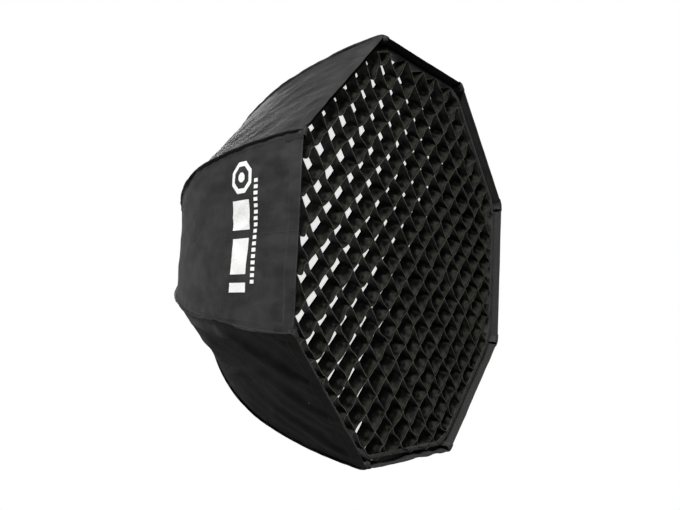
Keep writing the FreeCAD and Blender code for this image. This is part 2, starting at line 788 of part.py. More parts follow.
make_speed_ring()
make_hub_housing()
keep(ring_plate("front_plate", "plate_inner", "plate_outer", "plate_depth", HOUSING_FRONT,
                [("post_radius", "post_circle", 4, 0), ("screw_radius", "post_circle", 4, 45)]),
     "hub_front_plate")
make_hub_screws()
make_hinge_pins()
make_guide_posts()
keep(ring_plate("nose", "nose_inner", "nose_outer", "nose_depth", size("nose_start"),
                [("screw_radius", "post_circle", 4, 0)]), "nose_ring")
make_post_screws()
make_rear_collar()
make_runner()
make_runner_bushes()
make_latch_springs()
make_buttons()
make_button_springs()
make_ribs()
make_rib_fittings()
make_stretchers()
make_canopy()
make_front_diffuser()
make_grid()
doc.recompute()

for item in doc.Objects:
    if "Invalid" in item.State or "Error" in item.State:
        raise ValueError(f"{item.Label}: {item.State}")
for item in kept:
    if item.Shape.isNull() or not item.Shape.isValid() or not item.Shape.Solids:
        raise ValueError(f"{item.Label} has no valid solid")
for item in kept:
    item.Shape.exportStep(f"parts/{item.Label}.step")
print(f"{len(kept)} nodes; front at {FRONT:.1f}, runner pins at {RUNNER_PIVOT:.1f}")
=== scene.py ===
import json
import math

import bpy
import numpy as np
from mathutils import Matrix, Vector, noise


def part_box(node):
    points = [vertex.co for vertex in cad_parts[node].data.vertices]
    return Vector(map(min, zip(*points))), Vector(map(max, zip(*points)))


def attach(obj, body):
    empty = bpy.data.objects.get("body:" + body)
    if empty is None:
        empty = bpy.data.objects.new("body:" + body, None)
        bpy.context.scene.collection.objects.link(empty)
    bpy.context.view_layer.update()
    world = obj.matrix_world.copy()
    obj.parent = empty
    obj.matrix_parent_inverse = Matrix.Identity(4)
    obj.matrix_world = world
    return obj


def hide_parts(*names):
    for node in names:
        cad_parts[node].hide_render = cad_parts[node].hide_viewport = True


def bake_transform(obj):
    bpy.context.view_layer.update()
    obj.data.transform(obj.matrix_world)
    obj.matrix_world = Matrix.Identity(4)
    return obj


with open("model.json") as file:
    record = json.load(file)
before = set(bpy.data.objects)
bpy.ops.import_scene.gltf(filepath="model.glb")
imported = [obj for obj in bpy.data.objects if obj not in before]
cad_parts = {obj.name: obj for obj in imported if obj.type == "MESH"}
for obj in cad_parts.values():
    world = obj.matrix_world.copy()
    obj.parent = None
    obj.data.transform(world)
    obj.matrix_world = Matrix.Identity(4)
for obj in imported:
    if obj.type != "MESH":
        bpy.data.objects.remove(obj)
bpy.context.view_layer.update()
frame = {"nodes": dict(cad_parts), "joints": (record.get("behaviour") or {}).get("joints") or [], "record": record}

# The octabox's frame: radius and tangent in the XZ plane, depth along -Y, all in metres.
# Gore g is the flat panel whose middle is at the angle g x 45 degrees from +X towards +Z.
# Its first half hangs on rib g, its second half on rib g + 1.

RIBS = 8
STEP = 2 * math.pi / RIBS
HALF = STEP / 2

# The rods' curve: three tangent arcs from the hub hinge, with the seam a little outside it.
START_ANGLE = math.radians(82)
ARC_RADII = (0.353, 0.504, 1.246)
ARC_TURNS = tuple(math.radians(turn) for turn in (32.4, 30, 12.93))
SEAM_OUT = 0.007

REAR_OPENING = 0.088
CLOTH = 0.0009
HEM_CLOTH = 0.0022
HEM = 0.026
ALLOWANCE = 0.011
LIP = 0.046

# The front set ends less than this behind the hem's edge, and the cloth may not fall in on it.
FRONT_SET_REACH = 0.056
FRONT_CLEARANCE = 0.0006
FALL_BEHIND_SET = 0.10

# Heights of the kinds of wrinkle, and of what sewing leaves along the seams and hems.
SAG = 0.0022
SOFT = 0.0026
DRAG = 0.0040
CREASE = 0.0034
NEAR_HEM = 0.0060
FINE = 0.0005
STREAK = 0.0125
CREASE_ROUNDING = 0.006
SEAM_PUCKER, SEAM_PUCKER_PITCH = 0.0007, 0.031
HEM_PUCKER, HEM_PUCKER_PITCH = 0.0006, 0.027
PUCKER_WIDTH = 0.006
GATHER, GATHER_REACH = 0.0012, 0.05
SEAM_STEP, HEM_STEP, STEP_WIDTH = 0.0008, 0.0012, 0.0008


def joint(name):
    return next(item for item in frame["joints"] if item["name"] == name)


HINGE = Vector(joint("rib_1_fold")["pos_m"])
HINGE_RADIUS = math.hypot(HINGE.x, HINGE.z)
HINGE_DEPTH = -HINGE.y
FRONT = -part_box("canopy_1_a")[0].y

# ---------------------------------------------------------------- curves and places


def rib_arcs():
    """Centre, radius, first tangent angle and length of each of the rod's arcs."""
    arcs = []
    angle, radial, depth = START_ANGLE, HINGE_RADIUS, HINGE_DEPTH
    for radius, turn in zip(ARC_RADII, ARC_TURNS):
        centre = (radial - radius * math.cos(angle), depth + radius * math.sin(angle))
        arcs.append((centre, radius, angle, radius * turn))
        angle -= turn
        radial = centre[0] + radius * math.cos(angle)
        depth = centre[1] - radius * math.sin(angle)
    return arcs


ARCS = rib_arcs()
LENGTH = sum(arc[3] for arc in ARCS)


def rib_at(along, out=SEAM_OUT):
    """Radius, depth and tangent angle at a length along the rod, moved outward."""
    for index, (centre, radius, angle, length) in enumerate(ARCS):
        if along <= length or index == len(ARCS) - 1:
            break
        along -= length
    turned = angle - along / radius
    reach = radius + out
    return centre[0] + reach * math.cos(turned), centre[1] - reach * math.sin(turned), turned


def along_at_radius(radius):
    """The length along the rod where its seam has this radius."""
    low, high = 0.0, LENGTH
    for _ in range(40):
        middle = (low + high) / 2
        low, high = (middle, high) if rib_at(middle)[0] < radius else (low, middle)
    return low


SEAM_START = along_at_radius(REAR_OPENING)
SEAM_LENGTH = LENGTH - SEAM_START


def outward(angle):
    return Vector((math.cos(angle), 0, math.sin(angle)))


def across(angle):
    return Vector((-math.sin(angle), 0, math.cos(angle)))


FORWARD = Vector((0, -1, 0))


def bump_at(*place):
    return noise.noise(Vector(place))


def step_at(distance, width):
    """Rises smoothly from 0 to 1 as distance passes zero."""
    return 1 / (1 + math.exp(-max(-40.0, min(40.0, distance / width))))


def gore_relief(gore, along, side):
    """How far the cloth stands off the gore's smooth surface: slack, wrinkles, puckers and hems."""
    half_width = rib_at(along)[0] * math.sin(HALF)
    sideways = side * half_width
    from_seam = max(0.0, 1 - abs(side)) * half_width
    from_front = LENGTH - along
    share = (along - SEAM_START) / SEAM_LENGTH
    slackness = 1 - 0.4 * math.sin(gore * STEP)
    held = min(1.0, from_seam / 0.035) * min(1.0, from_front / 0.05 + 0.2)
    sag = -SAG * (1 - side * side) * math.sin(math.pi * min(1.0, share))
    soft = bump_at(along * 4, sideways * 6, gore * 7.3)
    drag = bump_at(along * 4.2 + sideways * 3, sideways * 17 - along * 3, gore * 3.1 + 40)
    fold = bump_at(along * 5 - sideways * 4, sideways * 16 + along * 10, gore * 2.3 + 20)
    hanging = 0.12 + 0.88 * max(0.0, -math.sin(gore * STEP))
    streak = bump_at(along * 5 + sideways * 3, (sideways - 0.5 * along) * 25, gore * 1.9 + 33)
    crease = 1 - 2 * math.sqrt(fold * fold + CREASE_ROUNDING)
    near_hem = math.exp(-from_front / 0.07) * bump_at(along * 9, sideways * 26, gore * 4.9 + 60)
    fine = bump_at(along * 34 - sideways * 21, sideways * 30, gore * 5.7 + 80)
    wrinkles = SOFT * soft + DRAG * drag + CREASE * crease ** 3 + NEAR_HEM * near_hem + FINE * fine
    wrinkles += STREAK * hanging * streak
    drift = 4 * bump_at(along * 9, gore, math.copysign(3, side))
    wave = math.sin(along * 2 * math.pi / SEAM_PUCKER_PITCH + drift)
    pucker = SEAM_PUCKER * wave * math.exp(-(((from_seam - ALLOWANCE) / PUCKER_WIDTH) ** 2))
    hem_wave = math.sin(sideways * 2 * math.pi / HEM_PUCKER_PITCH + 4 * bump_at(sideways * 9, gore, 7))
    hem_pucker = HEM_PUCKER * hem_wave * math.exp(-(((from_front - HEM) / PUCKER_WIDTH) ** 2)) * held
    gather = GATHER * math.sin(side * 9.5 * math.pi) * math.exp(-(along - SEAM_START) / GATHER_REACH)
    gather *= 1 - side * side
    folded = (SEAM_STEP * step_at(ALLOWANCE - from_seam, STEP_WIDTH)
              + HEM_STEP * step_at(HEM - from_front, STEP_WIDTH))
    # calmer over the rear third, so that the outline there stays a clean curve
    loose = 1 - 0.65 * math.exp(-(((share - 0.24) / 0.2) ** 2))
    slack = held * (sag + slackness * loose * wrinkles)
    slack = max(slack, -FRONT_CLEARANCE - FALL_BEHIND_SET * max(0.0, from_front - FRONT_SET_REACH))
    return slack + pucker + hem_pucker + gather + folded


def gore_point(gore, along, side, lift=0.0, relief=True):
    """A point of a gore: side runs from -1 at its first rib to 1 at its second."""
    radial, depth, angle = rib_at(along)
    rise = Vector((math.cos(angle), math.sin(angle) * math.cos(HALF))).normalized()
    height = lift + (gore_relief(gore, along, side) if relief else 0.0)
    middle = gore * STEP
    return (
        outward(middle) * (radial * math.cos(HALF) + rise.x * height)
        + across(middle) * (side * radial * math.sin(HALF))
        + FORWARD * (depth - rise.y * height)
    )


# ---------------------------------------------------------------- mesh helpers


def mesh_object(name, points, faces, coordinates, materials, face_materials=None, flat_faces=0):
    """A mesh with one UV per vertex, in metres, so that a weave keeps its real scale."""
    mesh = bpy.data.meshes.new(name)
    mesh.from_pydata([tuple(point) for point in points], [], faces)
    layer = mesh.uv_layers.new(name="metres")
    used = np.empty(len(mesh.loops), np.int32)
    mesh.loops.foreach_get("vertex_index", used)
    layer.data.foreach_set("uv", np.array(coordinates, np.float32)[used].ravel())
    for material in materials:
        mesh.materials.append(material)
    if face_materials is not None:
        mesh.polygons.foreach_set("material_index", np.array(face_materials, np.int32))
    mesh.polygons.foreach_set("use_smooth", np.arange(len(faces)) < len(faces) - flat_faces)
    mesh.update()
    made = bpy.data.objects.new(name, mesh)
    bpy.context.scene.collection.objects.link(made)
    return made


def lattice(rows, columns, first=0, flip=False, closed=False):
    """Quads of a grid of rows x columns points, whose columns may close into a ring."""
    quads = []
    for row in range(rows - 1):
        for column in range(columns if closed else columns - 1):
            beside = (column + 1) % columns
            quad = [row * columns + column, row * columns + beside,
                    (row + 1) * columns + beside, (row + 1) * columns + column]
            quads.append([first + index for index in (quad[::-1] if flip else quad)])
    return quads


def loop_lattice(rows, columns, flip=False):
    """Quads of a grid of points that closes on itself both ways."""
    quads = []
    for row in range(rows):
        after = (row + 1) % rows
        for column in range(columns):
            beside = (column + 1) % columns
            quad = [row * columns + column, row * columns + beside,
                    after * columns + beside, after * columns + column]
            quads.append([quad[0], *quad[:0:-1]] if flip else quad)
    return quads


def tube(sections):
    """Points, quads and end caps of a bar with one closed outline of points per section."""
    columns = len(sections[0])
    points = [point for section in sections for point in section]
    faces = lattice(len(sections), columns, closed=True)
    faces.append(list(range(columns))[::-1])
    faces.append([(len(sections) - 1) * columns + index for index in range(columns)])
    return points, faces


def spread(count, low=0.0, high=1.0):
    return [low + (high - low) * index / (count - 1) for index in range(count)]


def random_at(*key):
    """A repeatable number from -3 to 1 for a place in a pattern; the cell noise is from -1 to 1."""
    return noise.cell(Vector([float(value) * 1.37 + 11.1 for value in (*key, 0, 0)[:3]])) * 2 - 1


# ---------------------------------------------------------------- materials


class Shader:
    """A Principled material with helpers for its node tree."""

    def __init__(self, name, colour, roughness, metallic=0.0, specular=0.5):
        self.material = bpy.data.materials.new(name)
        self.material.use_nodes = True
        self.tree = self.material.node_tree
        self.surface = self.tree.nodes["Principled BSDF"]
        self.colour = (*colour, 1)
        self.surface.inputs["Base Color"].default_value = self.colour
        self.surface.inputs["Roughness"].default_value = roughness
        self.surface.inputs["Metallic"].default_value = metallic
        self.surface.inputs["Specular IOR Level"].default_value = specular
        self.height = None

    def node(self, kind, inputs=(), **settings):
        made = self.tree.nodes.new(kind)
        for key, value in settings.items():
            setattr(made, key, value)
        for key, value in dict(inputs).items():
            if isinstance(value, bpy.types.NodeSocket):
                self.tree.links.new(value, made.inputs[key])
            else:
                made.inputs[key].default_value = value
        return made

    def math(self, operation, first, second=0.0):
        return self.node("ShaderNodeMath", {0: first, 1: second}, operation=operation).outputs[0]

    def place(self, object_space=False):
        """Cloth is mapped by its own metres, hard parts by the place they have in the object."""
        made = self.node("ShaderNodeTexCoord")
        return made.outputs["Object" if object_space else "UV"]

    def stretched(self, place, scale):
        return self.node("ShaderNodeMapping", {"Vector": place, "Scale": scale}).outputs[0]

    def grain(self, place, size, detail=3.0):
        inputs = {"Vector": place, "Scale": 1 / size, "Detail": detail}
        return self.node("ShaderNodeTexNoise", inputs).outputs["Fac"]

    def bands(self, place, pitch, direction):
        """Waves with one crest per pitch; the node makes 20 radians of wave at scale 1."""
        period = 2 * math.pi / 20
        inputs = {"Vector": place, "Scale": period / pitch, "Distortion": 0.4, "Detail": 1.0,
                  "Detail Scale": 1.5}
        made = self.node("ShaderNodeTexWave", inputs, wave_type="BANDS", bands_direction=direction)
        return made.outputs["Fac"]

    def weave(self, place, pitch):
        return self.math("MULTIPLY", self.bands(place, pitch, "X"), self.bands(place, pitch, "Y"))

    def ramp(self, value, low, high, at=(0.35, 0.65)):
        made = self.node("ShaderNodeValToRGB", {"Fac": value})
        made.color_ramp.elements[0].position, made.color_ramp.elements[1].position = at
        made.color_ramp.elements[0].color = (*low, 1)
        made.color_ramp.elements[1].color = (*high, 1)
        return made.outputs["Color"]

    def tint(self, value, low, high, at=(0.35, 0.65)):
        """Base colour between two shades of the material's own colour."""
        shade = [tuple(channel * factor for channel in self.colour[:3]) for factor in (low, high)]
        self.tree.links.new(self.ramp(value, *shade, at), self.surface.inputs["Base Color"])

    def rough(self, value, low, high):
        made = self.node("ShaderNodeMapRange", {"Value": value, "To Min": low, "To Max": high})
        self.tree.links.new(made.outputs[0], self.surface.inputs["Roughness"])

    def bump(self, value, distance, strength=1.0):
        """Adds relief on top of the relief already there."""
        inputs = {"Height": value, "Distance": distance, "Strength": strength}
        if self.height:
            inputs["Normal"] = self.height
        self.height = self.node("ShaderNodeBump", inputs).outputs["Normal"]
        self.tree.links.new(self.height, self.surface.inputs["Normal"])

    def set(self, **values):
        for key, value in values.items():
            self.surface.inputs[key.replace("_", " ")].default_value = value
        return self


def coated_nylon(name, colour, weave_pitch=0.0011, sheen=0.04):
    """Plain-woven nylon: fine weave, and clouds and soft crush lines in its colour and its bumps. In its colour
    they are partly random tone and partly painted shade and light of the wrinkles.
    """
    made = Shader(name, colour, 0.62, specular=0.2)
    place = made.place()
    cloud = made.grain(place, 0.075, 6.0)
    crush = made.grain(made.stretched(place, (1.0, 0.45, 1.0)), 0.022, 6.0)
    # the colour's clouds and crush lines: partly random tone, partly painted shade and light for the cloth's
    # wrinkles
    tone_and_painted_wrinkle_shade = made.math("ADD", made.math("MULTIPLY", cloud, 0.6), made.math("MULTIPLY", crush, 0.4))
    made.tint(tone_and_painted_wrinkle_shade, 0.64, 1.38, at=(0.40, 0.60))
    made.rough(crush, 0.48, 0.74)
    made.bump(cloud, 0.0045, 0.6)
    made.bump(crush, 0.0024, 0.7)
    made.bump(made.weave(place, weave_pitch), 0.00018, 0.5)
    made.set(Sheen_Weight=sheen, Sheen_Roughness=0.5)
    return made.material


def silver_lining():
    made = Shader("silver_lining", (0.62, 0.62, 0.63), 0.36, metallic=0.75)
    place = made.place()
    crush = made.grain(place, 0.018, 6.0)
    made.tint(crush, 0.85, 1.08)
    made.rough(crush, 0.28, 0.48)
    made.bump(crush, 0.0016, 0.5)
    made.bump(made.weave(place, 0.0014), 0.0002, 0.4)
    return made.material


def webbing(name, colour):
    """Ribbed tape, as used for seam bindings and borders."""
    made = Shader(name, colour, 0.7, specular=0.3)
    place = made.place()
    ribs = made.bands(place, 0.0016, "X")
    cloud = made.grain(place, 0.012, 4.0)
    made.tint(cloud, 0.75, 1.3)
    made.rough(cloud, 0.58, 0.8)
    made.bump(ribs, 0.0003, 0.6)
    made.bump(made.grain(place, 0.0015, 3.0), 0.0003, 0.5)
    made.set(Sheen_Weight=0.04)
    return made.material


def hook_and_loop():
    made = Shader("hook_and_loop", (0.024, 0.025, 0.024), 0.9, specular=0.1)
    place = made.place()
    fuzz = made.grain(place, 0.0022, 6.0)
    rows = made.bands(place, 0.011, "Y")
    made.tint(fuzz, 0.55, 1.7)
    made.bump(rows, 0.0008, 0.35)
    made.bump(fuzz, 0.0011, 0.9)
    made.set(Sheen_Weight=0.05, Sheen_Roughness=0.4)
    return made.material


def grid_cloth():
    """Strip of the grid: coarse weave, slightly warm black.

    Its colour is painted near black at the rear edge and lighter towards the front edge. This is painted shade
    deep in the cells and painted light on their lit fronts, chosen for the look of the cells, not a known dye or
    dirt.
    """
    made = Shader("grid_cloth", (0.0046, 0.0046, 0.0037), 0.66, specular=0.05)
    place = made.place()
    cloud = made.grain(place, 0.016, 6.0)
    ahead = made.node("ShaderNodeSeparateXYZ", {0: place}).outputs["Y"]
    # painted light and shade: lighter towards the strips' front edge and near black at the rear, mixed with random
    # cloudy tone
    painted_depth_shade_and_tone = made.math("ADD", made.math("MULTIPLY", ahead, 10.5), made.math("MULTIPLY", cloud, 1.05))
    made.tint(painted_depth_shade_and_tone, 0.05, 5.2, at=(0.68, 0.98))
    made.rough(cloud, 0.5, 0.68)
    made.bump(cloud, 0.0030, 0.7)
    made.bump(made.weave(place, 0.0012), 0.00025, 0.6)
    return made.material


def grid_edge_painted_highlight():
    # front edges of the black strips, coloured light grey: a painted highlight of the lit edges, with random tone
    made = Shader("grid_edge_painted_highlight", (0.12, 0.12, 0.108), 0.7, specular=0.3)
    place = made.place()
    fray = made.grain(place, 0.0016, 4.0)
    made.tint(fray, 0.5, 1.4)
    made.bump(fray, 0.0004, 0.7)
    return made.material


def white_diffusion():
    """White front cloth. No lamp is modelled inside: its own emission stands in for one."""
    made = Shader("white_diffusion", (0.86, 0.86, 0.85), 0.8, specular=0.2)
    place = made.place()
    cloud = made.grain(place, 0.06, 4.0)
    made.tint(cloud, 0.97, 1.02)
    made.rough(cloud, 0.75, 0.9)
    made.bump(made.grain(place, 0.03, 4.0), 0.002, 0.3)
    made.bump(made.weave(place, 0.0012), 0.0002, 0.5)
    made.set(Subsurface_Weight=0.0, Emission_Strength=0.8)
    made.surface.inputs["Emission Color"].default_value = (1, 1, 0.99, 1)
    return made.material


def print_ink():
    made = Shader("print_ink", (0.82, 0.82, 0.81), 0.5, specular=0.4)
    place = made.place()
    wear = made.grain(place, 0.004, 5.0)
    made.tint(wear, 0.86, 1.03)
    made.bump(made.weave(place, 0.0011), 0.00012, 0.5)
    return made.material


def moulded_plastic(name, colour):
    made = Shader(name, colour, 0.5, specular=0.45)
    place = made.place(object_space=True)
    spark = made.grain(place, 0.0012, 4.0)
    cloud = made.grain(place, 0.03, 3.0)
    made.tint(cloud, 0.85, 1.2)
    made.rough(spark, 0.42, 0.62)
    made.bump(spark, 0.00025, 0.5)
    return made.material


def painted_alloy(name, colour):
    made = Shader(name, colour, 0.42, specular=0.5)
    place = made.place(object_space=True)
    peel = made.grain(place, 0.0022, 2.0)
    wear = made.grain(place, 0.02, 6.0)
    made.tint(wear, 0.8, 1.35)
    made.rough(wear, 0.32, 0.52)
    made.bump(peel, 0.0002, 0.5)
    return made.material


def turned_metal(name, colour, roughness):
    made = Shader(name, colour, roughness, metallic=1.0)
    place = made.place(object_space=True)
    lines = made.grain(made.stretched(place, (1, 60, 1)), 0.02, 4.0)
    smudge = made.grain(place, 0.015, 4.0)
    made.tint(smudge, 0.82, 1.08)
    made.rough(smudge, roughness * 0.75, roughness * 1.4)
    made.bump(lines, 0.0001, 0.4)
    return made.material


CLOTH_BLACK = coated_nylon("canopy_cloth", (0.019, 0.019, 0.0191))
LINING = silver_lining()
BINDING = webbing("seam_binding", (0.012, 0.012, 0.012))
BORDER = webbing("grid_border_tape", (0.026, 0.027, 0.026))
VELCRO = hook_and_loop()
GRID = grid_cloth()
GRID_EDGE_PAINTED_HIGHLIGHT = grid_edge_painted_highlight()
DIFFUSION = white_diffusion()
INK = print_ink()
ELASTIC = webbing("elastic", (0.014, 0.014, 0.014))
THREAD_BLACK = webbing("sewing_thread", (0.03, 0.03, 0.03))
TAB = webbing("corner_tab_tape", (0.022, 0.022, 0.0215))

# ---------------------------------------------------------------- canopy


def gore_rows():
    """Lengths along the seam, closer together at the rear gathers and at the hem."""
    body = spread(84, SEAM_START + 0.004, LENGTH - 0.036)
    return [SEAM_START, *body, *spread(20, LENGTH - 0.034, LENGTH)]


def half_gore(gore, second):
    """One half of a gore as a thin shell: black outside, silver inside, a doubled front hem."""
    rows = gore_rows()
    sides = [*(1 - share ** 1.25 for share in spread(27)[:-1]), 0.006, 0.0]
    sides = sides[::-1] if second else [-side for side in sides]
    outer, inner, places = [], [], []
    for along in rows:
        thick = CLOTH + (HEM_CLOTH - CLOTH) * step_at(HEM - (LENGTH - along), 0.0015)
        width = rib_at(along)[0] * math.sin(HALF)
        for side in sides:
            outer.append(gore_point(gore, along, side))
            inner.append(gore_point(gore, along, side, -thick))
            places.append((side * width, along))
    # the rolled front edge between the two faces
    rolled, rolled_places = [], []
    roll = (0.25, 0.5, 0.75)
    for share in roll:
        bulge = math.sin(math.pi * share) * HEM_CLOTH / 2
        for side in sides:
            point = gore_point(gore, LENGTH, side, -HEM_CLOTH * share)
            rolled.append(point + FORWARD * bulge)
            rolled_places.append((side * width, LENGTH + HEM_CLOTH * share))
    columns, count = len(sides), len(rows)
    points = outer + rolled + inner[::-1]
    coordinates = places + rolled_places + places[::-1]
    # inner rows run back from the front, mirrored, so each is turned round again
    for row in range(count):
        start = (count + len(roll) + row) * columns
        points[start:start + columns] = points[start:start + columns][::-1]
        coordinates[start:start + columns] = coordinates[start:start + columns][::-1]
    inside = count + len(roll)
    total = inside + count
    faces = lattice(total, columns)
    lip_rows = sum(1 for along in rows if along > LENGTH - LIP)
    cloth, lining, lip = range(3)
    kinds = []
    for row in range(total - 1):
        kind = cloth if row < inside else lip if row < inside + lip_rows else lining
        kinds += [kind] * (columns - 1)
    # the cut edges: along the seam, along the gore's middle and round the rear opening
    last = total - 1
    skin_faces = len(faces)
    for column, turned in ((0, True), (columns - 1, False)):
        loops = [[row, row + 1, last - row - 1, last - row] for row in range(count - 1)]
        loops.append(list(range(count - 1, inside + 1)))
        for loop in loops:
            face = [row * columns + column for row in loop]
            faces.append(face[::-1] if turned else face)
            kinds.append(cloth)
    for column in range(columns - 1):
        faces.append([column + 1, column, last * columns + column, last * columns + column + 1])
        kinds.append(cloth)
    rib = (gore + 1 if second else gore) % RIBS or RIBS
    letter = "b" if second else "a"
    made = mesh_object(f"gore_{gore}_{'second' if second else 'first'}", points, faces, coordinates,
                       [CLOTH_BLACK, LINING, VELCRO], kinds, flat_faces=len(faces) - skin_faces)
    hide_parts(f"canopy_{rib}_{letter}")
    follow_panel(made)
    sewn = stitches(gore, second, letter)
    steps = spread(200, SEAM_START, LENGTH)
    widths = [rib_at(along)[0] * math.sin(HALF) for along in steps]


STITCH = 0.0032
STITCH_PITCH = 0.0048
THREAD = 0.00045


def stitch(points, faces, coordinates, ends, up):
    """Adds one stitch: a short raised strand between two points, tapered at its ends."""
    along = (ends[1] - ends[0]).normalized()
    beside = along.cross(up).normalized()
    first = len(points)
    for share, thick in ((0, 0.3), (0.5, 1), (1, 0.3)):
        middle = ends[0].lerp(ends[1], share)
        for sideways, rise in ((-1, -0.3), (0, 1), (1, -0.3), (0, -0.8)):
            points.append(middle + (beside * sideways + up * rise) * THREAD * thick)
            coordinates.append((share * STITCH, sideways * THREAD))
    faces += lattice(3, 4, first=first, closed=True)


def stitches(gore, second, letter):
    """The sewing along one seam allowance and the front hem of a half gore."""
    sign = 1 if second else -1
    runs = []
    along = SEAM_START + 0.012
    while along < LENGTH - 0.006:
        half_width = rib_at(along)[0] * math.sin(HALF)
        side = sign * (1 - (ALLOWANCE - 0.002) / half_width)
        runs.append(((along, side), (along + STITCH, side)))
        along += STITCH_PITCH
    along = LENGTH - HEM + 0.0025
    half_width = rib_at(along)[0] * math.sin(HALF)
    sideways = 0.001
    while sideways < half_width - 0.014:
        ends = [(along, sign * place / half_width) for place in (sideways, sideways + STITCH)]
        runs.append(ends)
        sideways += STITCH_PITCH
    points, faces, coordinates = [], [], []
    up = outward(gore * STEP)
    for run in runs:
        ends = [gore_point(gore, *place, 0.0002) for place in run]
        stitch(points, faces, coordinates, ends, up)
    made = mesh_object(f"stitches_{gore}_{letter}", points, faces, coordinates, [THREAD_BLACK])
    follow_panel(made)
    return made


def follow_panel(item):
    """Bakes the placement of a piece of a half gore into its mesh."""
    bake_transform(item)


FIN_ROOT = 0.0022
FIN_OUTLINE = [(0, -1), (0.45, -1), (0.8, -1.05), (0.97, -0.6), (1.02, 0), (0.97, 0.6), (0.8, 1.05),
               (0.45, 1), (0, 1)]


def seam_fin(rib):
    """The bound seam allowance that stands up along a rib."""
    angle = rib * STEP - HALF
    sections, coordinates = [], []
    for along in spread(190, SEAM_START + 0.002, LENGTH + 0.0005):
        radial, depth, turned = rib_at(along)
        up = outward(angle) * math.cos(turned) - FORWARD * math.sin(turned)
        beside = across(angle)
        sway = bump_at(along * 16, rib * 4.7, 0)
        ripple = bump_at(along * 55, rib * 9.1, 5)
        lean = 0.7 * sway + 0.25 * ripple
        from_tip = max(0.0, min(1.0, (LENGTH - along) / 0.016))
        from_rear = max(0.0, min(1.0, (along - SEAM_START) / 0.05))
        tall = 0.0058 + 0.0014 * sway + 0.0006 * ripple
        tall *= (0.3 + 0.7 * math.sqrt(from_tip)) * (0.4 + 0.6 * from_rear)
        thick = 0.0016 + 0.0002 * ripple
        top = up * math.cos(lean) + beside * math.sin(lean)
        base = outward(angle) * radial + FORWARD * depth - up * FIN_ROOT
        sections.append([base + top * (tall + FIN_ROOT) * rise + beside * thick * half
                         for rise, half in FIN_OUTLINE])
        coordinates += [(rise * 0.009 + half * 0.002, along) for rise, half in FIN_OUTLINE]
    points, faces = tube(sections)
    made = mesh_object(f"seam_binding_{rib}", points, faces, coordinates, [BINDING])
    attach(made, f"rib_{rib}")


POCKET_LENGTH = 0.05
POCKET_HALF = 0.017
POCKET_RIDGE = 0.006


def corner_pocket(rib):
    """The reinforced patch that holds the rib's tip at the front corner."""
    angle = rib * STEP - HALF
    rows = spread(16, LENGTH - POCKET_LENGTH, LENGTH + 0.0012)
    offsets = spread(15, -POCKET_HALF, POCKET_HALF)
    outer, coordinates = [], []
    for along in rows:
        radial, depth, turned = rib_at(along)
        up = outward(angle) * math.cos(turned) - FORWARD * math.sin(turned)
        ends = min(1.0, (along - rows[0]) / 0.004)
        for offset in offsets:
            edge = min(1.0, (POCKET_HALF - abs(offset)) / 0.003)
            fall = abs(offset)
            if fall <= POCKET_RIDGE:
                fall = POCKET_RIDGE * (0.5 + 0.5 * (offset / POCKET_RIDGE) ** 2)
            drop = fall * math.tan(HALF)
            lift = 0.0002 + 0.0016 * math.sqrt(max(0.0, ends * edge))
            outer.append(outward(angle) * radial + FORWARD * depth + across(angle) * offset
                         + up * (lift - drop + 0.0004))
            coordinates.append((offset, along))
    faces = lattice(len(rows), len(offsets))
    made = mesh_object(f"corner_pocket_{rib}", outer, faces, coordinates, [BINDING])
    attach(made, f"rib_{rib}")


def rear_gather():
    """The elastic hem round the hub, with the cloth gathered into it."""
    low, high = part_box("rear_collar")
    outer = (high.x - low.x) / 2
    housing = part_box("hub_housing")
    inner = (housing[1].x - housing[0].x) / 2 + 0.0004
    rear, front = -high.y, -low.y
    middle, half_wide = (inner + outer) / 2, (outer - inner) / 2
    middle_depth, half_deep = (rear + front) / 2, (front - rear) / 2
    turns, outline_count = 240, 14
    points, coordinates = [], []
    for step in range(turns):
        turn = 2 * math.pi * step / turns
        pleat = 0.5 + 0.5 * math.sin(turn * 48 + 1.5 * math.sin(turn * 5))
        for index in range(outline_count):
            phase = 2 * math.pi * index / outline_count
            reach = middle + half_wide * math.cos(phase) * (0.85 + 0.15 * pleat)
            depth = middle_depth + half_deep * math.sin(phase) * (0.75 + 0.25 * pleat)
            points.append(outward(turn) * reach + FORWARD * depth)
            coordinates.append((turn * outer, index * 0.002))
    faces = loop_lattice(turns, outline_count)
    made = mesh_object("rear_gather", points, faces, coordinates, [ELASTIC])
    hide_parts("rear_collar")
    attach(made, "hub")


# ---------------------------------------------------------------- printed mark


def ink_patch(name, outline):
    """A patch of ink from a grid of (along, sideways) places on one half of the marked gore."""
    points, coordinates = [], []
    for row in outline:
        for along, sideways in row:
            side = sideways / (rib_at(along)[0] * math.sin(HALF))
            points.append(gore_point(MARK_GORE, along, side, 0.0005))
            coordinates.append((sideways, along))
    rows, columns = len(outline), len(outline[0])
    made = mesh_object(name, points, lattice(rows, columns), coordinates, [INK])
    follow_panel(made)


def bar(middle, width, start, end):
    """Places across and along a straight printed bar."""
    count = max(6, int(abs(end - start) / 0.003))
    columns = max(4, int(width / 0.004))
    return [[(middle + width * share, sideways) for share in spread(columns, -0.5, 0.5)]
            for sideways in spread(count, start, end)]


def ring(middle_along, middle_side, outer, inner):
    """Places on an eight-sided printed ring."""
    rows = []
    for step in range(RIBS * 4 + 1):
        turn = step / 4
        corner, share = int(turn), turn - int(turn)
        first, last = (HALF + STEP * (corner + extra) for extra in (0, 1))
        way = (math.cos(first) * (1 - share) + math.cos(last) * share,
               math.sin(first) * (1 - share) + math.sin(last) * share)
        rows.append([(middle_along + way[0] * reach, middle_side + way[1] * reach)
                     for reach in spread(5, inner, outer)])
    return rows


MARK_GORE = 4
MARK_ALONG = LENGTH - 0.162
MARK_RING_AT = -0.110
MARK_WIDTH = 0.052
DASHES = 17
DASH_ALONG = MARK_ALONG + 0.045
DASH_WIDTH = 0.011
DASH_LENGTH = 0.007
DASH_PITCH = 0.0118
FIRST_DASH = -0.104


